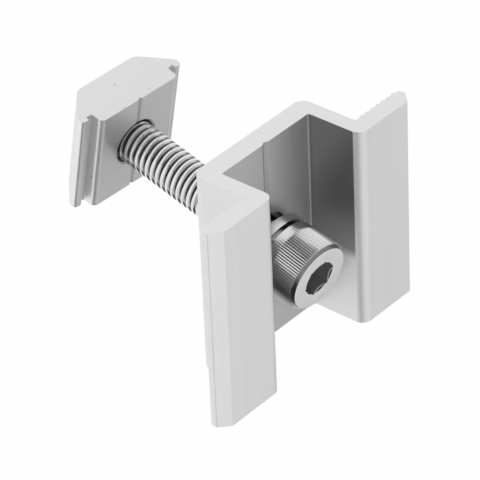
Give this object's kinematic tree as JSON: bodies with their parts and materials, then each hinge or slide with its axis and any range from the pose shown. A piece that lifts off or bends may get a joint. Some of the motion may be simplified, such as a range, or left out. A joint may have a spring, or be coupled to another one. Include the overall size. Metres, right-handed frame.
{
  "type": "solar mid clamp",
  "caption": "Loose mid clamp for solar modules: serrated hat-section channel, leaning socket head cap screw, spring washer and lipped rail nut.",
  "frame": {"origin": "centre of the screw's hole on the floor of the channel", "axes": "+Z out of the channel's mouth, towards the screw's head; +Y along the extrusion; +X across it, from one flange to the other"},
  "size_m": [0.052, 0.039, 0.0547],
  "materials": {
    "clamp_aluminium": "satin mill extrusion",
    "nut_aluminium": "satin mill extrusion",
    "screw_steel": "bright stainless, rolled thread",
    "washer_steel": "bright stainless"
  },
  "bodies": {
    "channel": {"clamp_channel": "clamp_aluminium"},
    "washer": {"spring_washer": "washer_steel"},
    "screw": {"cap_screw": "screw_steel"},
    "nut": {"rail_nut": "nut_aluminium"}
  },
  "joints": [
    {"name": "screw_lift", "type": "slide", "parent": "channel", "child": "washer", "axis": [-0.0647, -0.216, 0.9742], "range_m": [0, 0.012]},
    {"name": "screw_turn", "type": "hinge", "parent": "washer", "child": "screw", "pos_m": [-0.00013, -0.00044, 0], "axis": [-0.0647, -0.216, 0.9742], "range_deg": [-3600, 720]},
    {"name": "nut_travel", "type": "slide", "parent": "washer", "child": "nut", "axis": [-0.0647, -0.216, 0.9742], "range_m": [-0.0025, 0.0125]}
  ],
  "couplings": [
    {"joint": "nut_travel", "follows": "screw_turn", "m_per_rad": -0.00019894}
  ]
}
